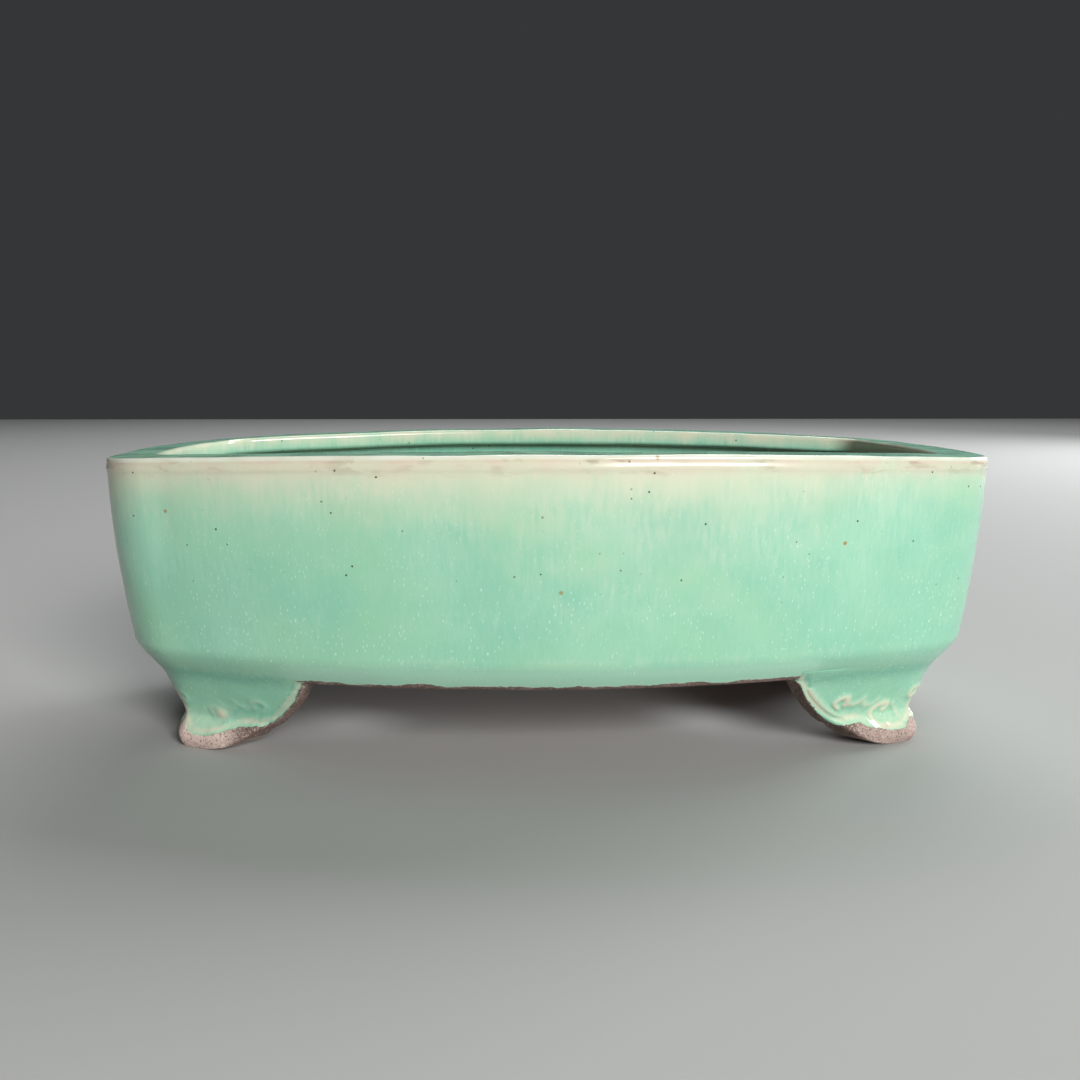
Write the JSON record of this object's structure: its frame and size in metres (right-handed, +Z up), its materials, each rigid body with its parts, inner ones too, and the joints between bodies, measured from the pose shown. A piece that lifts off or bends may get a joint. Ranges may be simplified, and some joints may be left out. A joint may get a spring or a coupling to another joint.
{
  "type": "bonsai pot",
  "caption": "Shallow rectangular bonsai pot with bowed sides, soft corners, an inner lip, drain and wire holes and cloud-shaped corner feet, in a green glaze.",
  "frame": {"origin": "bottom centre: middle of the pot, in the plane of the toes that it stands on", "axes": "+X along the pot's length towards its right end, +Z up; the front faces -Y"},
  "size_m": [0.235, 0.142, 0.08],
  "materials": {
    "glaze": "light jade-green glaze, semi-gloss, thin and cream coloured at the rim and edges, with fine specks, streaks and bubbles",
    "foot_glaze": "the same green glaze, pale on raised scrolls, ending in bare pinkish-brown toes",
    "bare_clay": "unglazed fired clay, matt and gritty, greyish brown"
  },
  "bodies": {
    "root": {"front_wall": "glaze", "back_wall": "glaze", "left_wall": "glaze", "right_wall": "glaze", "rim_lip": "glaze", "base_slab": "bare_clay", "foot_front_left": "foot_glaze", "foot_front_right": "foot_glaze", "foot_back_left": "foot_glaze", "foot_back_right": "foot_glaze"}
  },
  "joints": []
}
